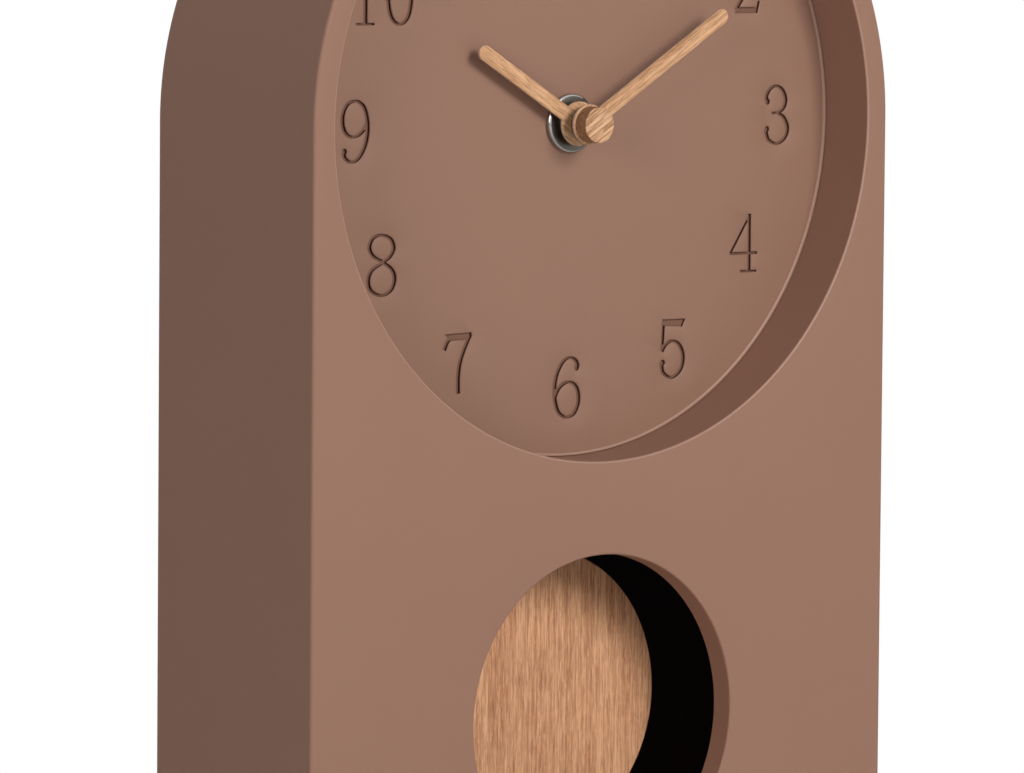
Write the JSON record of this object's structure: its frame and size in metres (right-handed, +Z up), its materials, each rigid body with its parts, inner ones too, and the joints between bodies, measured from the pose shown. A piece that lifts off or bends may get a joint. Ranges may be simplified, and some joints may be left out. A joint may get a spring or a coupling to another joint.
{
  "type": "desk pendulum clock",
  "caption": "Arched table clock with a sunk round dial, wooden hands and a wooden pendulum bob behind a round window.",
  "frame": {"origin": "middle of the base on the table surface", "axes": "+Z up, -Y out of the dial, +X to the right as seen from the front"},
  "size_m": [0.18, 0.065, 0.3],
  "materials": {
    "shell_plastic": "fine matt brown moulding",
    "dial_plastic": "fine matt brown moulding",
    "panel_plastic": "matt black",
    "housing_plastic": "black moulding",
    "knob_plastic": "off-white moulding",
    "gear_resin": "natural resin",
    "oak": "natural oak, matt",
    "steel": "bright steel",
    "chrome": "polished",
    "magnet": "plated magnet",
    "brass": "turned brass",
    "copper": "enamelled copper wire",
    "rubber": "black rubber",
    "board": "green lacquered board",
    "cell_jacket": "plain grey jacket"
  },
  "bodies": {
    "root": {"case_shell": "shell_plastic", "dial_plate": "dial_plastic", "back_panel": "panel_plastic", "back_panel_screws": "steel", "foot_pads": "rubber", "movement_front_housing": "housing_plastic", "movement_rear_housing": "housing_plastic", "gear_plate": "gear_resin", "movement_screws": "steel", "fixing_bushing": "brass", "rubber_washer": "rubber", "nut_washer": "chrome", "fixing_nut": "chrome", "stator": "steel", "coil_bobbin": "housing_plastic", "coil_winding": "copper", "circuit_board": "board", "quartz_crystal": "steel", "battery_cell": "cell_jacket", "battery_contact_plus": "steel", "battery_contact_minus": "steel", "drive_coil_core": "gear_resin", "drive_coil_winding": "copper", "pendulum_pivot_pin": "steel"},
    "minute_group": {"minute_arbor": "brass", "minute_hand": "oak", "hand_cap": "oak"},
    "hour_group": {"hour_wheel": "gear_resin", "hour_hand": "oak"},
    "minute_wheel": {"minute_wheel": "gear_resin"},
    "setting_knob": {"setting_knob": "knob_plastic"},
    "rotor": {"rotor_pinion": "gear_resin", "rotor_magnet": "magnet"},
    "fifth_wheel": {"fifth_wheel": "gear_resin"},
    "fourth_wheel": {"fourth_wheel": "gear_resin"},
    "third_wheel": {"third_wheel": "gear_resin"},
    "centre_wheel": {"centre_wheel": "brass"},
    "pendulum": {"pendulum_hanger": "gear_resin", "drive_magnet": "magnet", "pendulum_rod": "steel", "bob_disc": "oak", "bob_clip": "housing_plastic"}
  },
  "joints": [
    {"name": "minute_hand_turn", "type": "hinge", "parent": "root", "child": "minute_group", "pos_m": [0.0008, -0.0125, 0.2094], "axis": [0, 1, 0], "continuous": true},
    {"name": "hour_hand_turn", "type": "hinge", "parent": "root", "child": "hour_group", "pos_m": [0.0008, -0.0125, 0.2094], "axis": [0, 1, 0], "continuous": true},
    {"name": "minute_wheel_turn", "type": "hinge", "parent": "root", "child": "minute_wheel", "pos_m": [0.0128, -0.0045, 0.2094], "axis": [0, 1, 0], "continuous": true},
    {"name": "setting_knob_turn", "type": "hinge", "parent": "root", "child": "setting_knob", "pos_m": [0.02319, 0.0075, 0.2034], "axis": [0, 1, 0], "continuous": true},
    {"name": "rotor_turn", "type": "hinge", "parent": "root", "child": "rotor", "pos_m": [0.00887, 0.0035, 0.22159], "axis": [0, 1, 0], "continuous": true},
    {"name": "fifth_wheel_turn", "type": "hinge", "parent": "root", "child": "fifth_wheel", "pos_m": [0.00119, 0.0035, 0.22226], "axis": [0, 1, 0], "continuous": true},
    {"name": "fourth_wheel_turn", "type": "hinge", "parent": "root", "child": "fourth_wheel", "pos_m": [-0.00615, 0.0035, 0.22356], "axis": [0, 1, 0], "continuous": true},
    {"name": "third_wheel_turn", "type": "hinge", "parent": "root", "child": "third_wheel", "pos_m": [-0.00777, 0.0035, 0.21435], "axis": [0, 1, 0], "continuous": true},
    {"name": "centre_wheel_turn", "type": "hinge", "parent": "root", "child": "centre_wheel", "pos_m": [0.0008, 0.0035, 0.2094], "axis": [0, 1, 0], "continuous": true},
    {"name": "pendulum_swing", "type": "hinge", "parent": "root", "child": "pendulum", "pos_m": [0.0008, 0.0005, 0.1724], "axis": [0, 1, 0], "range_deg": [-12, 12]}
  ],
  "couplings": [
    {"joint": "hour_hand_turn", "follows": "minute_hand_turn", "ratio": 0.083333},
    {"joint": "minute_wheel_turn", "follows": "minute_hand_turn", "ratio": -0.33333},
    {"joint": "setting_knob_turn", "follows": "minute_hand_turn", "ratio": 1},
    {"joint": "fifth_wheel_turn", "follows": "rotor_turn", "ratio": -0.16667},
    {"joint": "fourth_wheel_turn", "follows": "rotor_turn", "ratio": 0.033333},
    {"joint": "third_wheel_turn", "follows": "rotor_turn", "ratio": -0.0044444},
    {"joint": "centre_wheel_turn", "follows": "rotor_turn", "ratio": 0.00055556}
  ]
}
